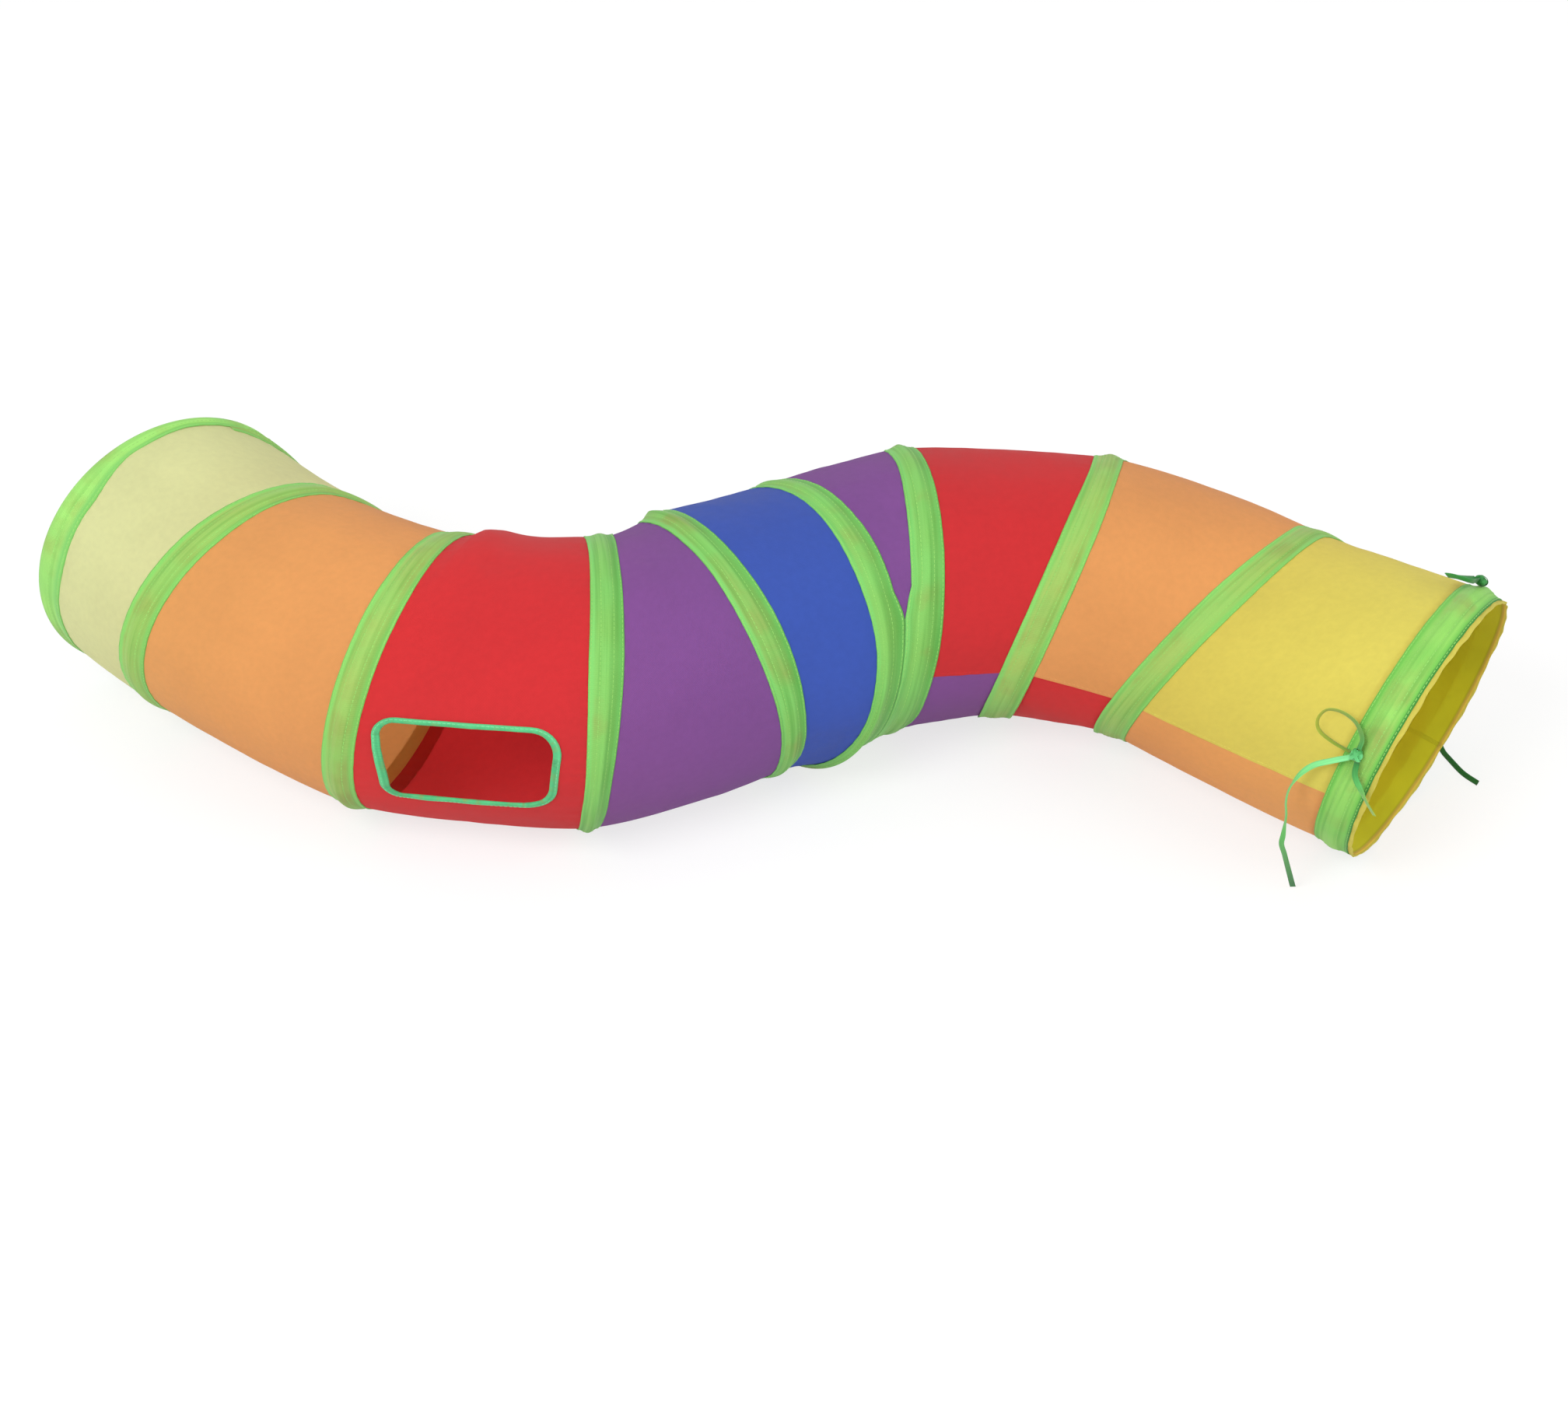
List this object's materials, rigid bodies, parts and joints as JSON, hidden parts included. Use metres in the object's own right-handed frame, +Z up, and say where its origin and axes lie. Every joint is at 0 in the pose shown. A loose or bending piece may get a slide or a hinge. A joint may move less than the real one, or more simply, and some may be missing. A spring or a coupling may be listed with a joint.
{
  "type": "pop-up cat tunnel",
  "caption": "Fabric play tunnel on a spiral spring, in stepped colour bands with sewn wire casings, a bound side window and ribbon ties, lying in an S on the floor.",
  "frame": {"origin": "centre of the tunnel's outline on the floor, ribbons left out", "axes": "+X along the floor from the plain mouth to the tied mouth, +Y away from the window, +Z up"},
  "size_m": [1.2868, 0.4587, 0.2615],
  "materials": {
    "pale_yellow": "thin woven polyester with a slight sheen",
    "orange": "thin woven polyester with a slight sheen",
    "red": "thin woven polyester with a slight sheen",
    "purple": "thin woven polyester with a slight sheen",
    "blue": "thin woven polyester with a slight sheen",
    "yellow": "thin woven polyester with a slight sheen",
    "green_tape": "ribbed woven tape, satin",
    "mint_tape": "narrow woven binding, satin",
    "ribbon_green": "satin ribbon",
    "spring_steel": "drawn wire"
  },
  "bodies": {
    "hoop_0": {"spring_ring_0": "spring_steel", "tape_band_0": "green_tape", "mouth_hem_0": "pale_yellow", "mouth_gusset": "pale_yellow"},
    "hoop_1": {"spring_turn_1": "spring_steel", "spring_link_1": "spring_steel", "tape_band_1": "green_tape", "band_1": "pale_yellow"},
    "hoop_2": {"spring_turn_2": "spring_steel", "spring_link_2": "spring_steel", "tape_band_2": "green_tape", "band_2": "orange"},
    "hoop_3": {"spring_turn_3": "spring_steel", "spring_link_3": "spring_steel", "tape_band_3": "green_tape", "band_3": "red", "window_binding": "mint_tape"},
    "hoop_4": {"spring_turn_4": "spring_steel", "spring_link_4": "spring_steel", "tape_band_4": "green_tape", "band_4": "purple"},
    "hoop_5": {"spring_turn_5": "spring_steel", "spring_link_5": "spring_steel", "tape_band_5": "green_tape", "band_5": "blue"},
    "hoop_6": {"spring_turn_6": "spring_steel", "spring_link_6": "spring_steel", "tape_band_6": "green_tape", "band_6": "purple"},
    "hoop_7": {"spring_turn_7": "spring_steel", "spring_link_7": "spring_steel", "tape_band_7": "green_tape", "band_7": "red"},
    "hoop_8": {"spring_turn_8": "spring_steel", "spring_link_8": "spring_steel", "tape_band_8": "green_tape", "band_8": "orange"},
    "hoop_9": {"spring_ring_9": "spring_steel", "spring_link_9": "spring_steel", "tape_band_9": "green_tape", "tape_tail": "green_tape", "mouth_hem_9": "yellow", "band_9": "yellow", "near_tie_knot": "ribbon_green", "near_tie_loop": "ribbon_green", "near_tie_long_end": "ribbon_green", "near_tie_short_end": "ribbon_green", "far_tie_knot": "ribbon_green", "far_tie_loop": "ribbon_green", "far_tie_end": "ribbon_green"}
  },
  "joints": [
    {"name": "fold_1", "type": "hinge", "parent": "hoop_1", "child": "hoop_0", "pos_m": [-0.34317, 0.25886, -0.41025], "axis": [0.6422, 0.6651, 0.381], "range_deg": [0, 10.92], "stiffness_Nm_per_rad": 23.9, "deforming": ["band_1", "mouth_gusset", "spring_link_1", "tape_band_0", "tape_band_1", "tape_band_2"]},
    {"name": "fold_2", "type": "hinge", "parent": "hoop_2", "child": "hoop_1", "pos_m": [-0.17544, 0.2994, 0.18094], "axis": [-0.0977, -0.1182, 0.9882], "range_deg": [0, 26.33], "stiffness_Nm_per_rad": 9.7, "deforming": ["band_1", "band_2", "spring_link_2", "tape_band_1", "tape_band_2"]},
    {"name": "fold_3", "type": "hinge", "parent": "hoop_3", "child": "hoop_2", "pos_m": [-0.19076, 0.24258, 0.13718], "axis": [-0.0104, -0.0336, 0.9994], "range_deg": [0, 29.03], "stiffness_Nm_per_rad": 6.7, "deforming": ["band_2", "band_3", "window_binding", "spring_link_3", "tape_band_2", "tape_band_3"]},
    {"name": "fold_4", "type": "hinge", "parent": "hoop_4", "child": "hoop_3", "pos_m": [-0.16951, 0.11233, 0.19699], "axis": [0.1697, -0.3385, 0.9255], "range_deg": [0, 32.26], "stiffness_Nm_per_rad": 2.6, "deforming": ["band_3", "band_4", "spring_link_4", "tape_band_3", "tape_band_4"]},
    {"name": "fold_5", "type": "hinge", "parent": "hoop_4", "child": "hoop_5", "pos_m": [-0.01506, 0.00729, -0.08869], "axis": [0.3735, -0.9271, -0.0322], "range_deg": [0, 19.54], "stiffness_Nm_per_rad": 3.4, "deforming": ["band_4", "band_5", "spring_link_5", "tape_band_4", "tape_band_5"]},
    {"name": "fold_6", "type": "hinge", "parent": "hoop_5", "child": "hoop_6", "pos_m": [0.16378, -0.11704, 0.15971], "axis": [-0.1237, 0.1452, 0.9817], "range_deg": [0, 27.82], "stiffness_Nm_per_rad": 2.6, "deforming": ["band_5", "band_6", "spring_link_6", "tape_band_5", "tape_band_6"]},
    {"name": "fold_7", "type": "hinge", "parent": "hoop_6", "child": "hoop_7", "pos_m": [0.2083, -0.20094, 0.03651], "axis": [0.0416, -0.3039, 0.9518], "range_deg": [0, 26.86], "stiffness_Nm_per_rad": 6.1, "deforming": ["band_6", "band_7", "spring_link_7", "tape_band_6", "tape_band_7"]},
    {"name": "fold_8", "type": "hinge", "parent": "hoop_7", "child": "hoop_8", "pos_m": [0.20597, -0.2419, 0.00874], "axis": [-0.1025, -0.3151, 0.9435], "range_deg": [0, 24.76], "stiffness_Nm_per_rad": 8.2, "deforming": ["band_7", "band_8", "spring_link_8", "tape_band_7", "tape_band_8"]},
    {"name": "fold_9", "type": "hinge", "parent": "hoop_8", "child": "hoop_9", "pos_m": [0.64984, 0.22591, 0.73704], "axis": [0.5811, 0.6728, -0.4579], "range_deg": [0, 15.78], "stiffness_Nm_per_rad": 34.6, "deforming": ["band_8", "band_9", "spring_link_9", "tape_band_8", "tape_band_9", "tape_tail"]}
  ]
}
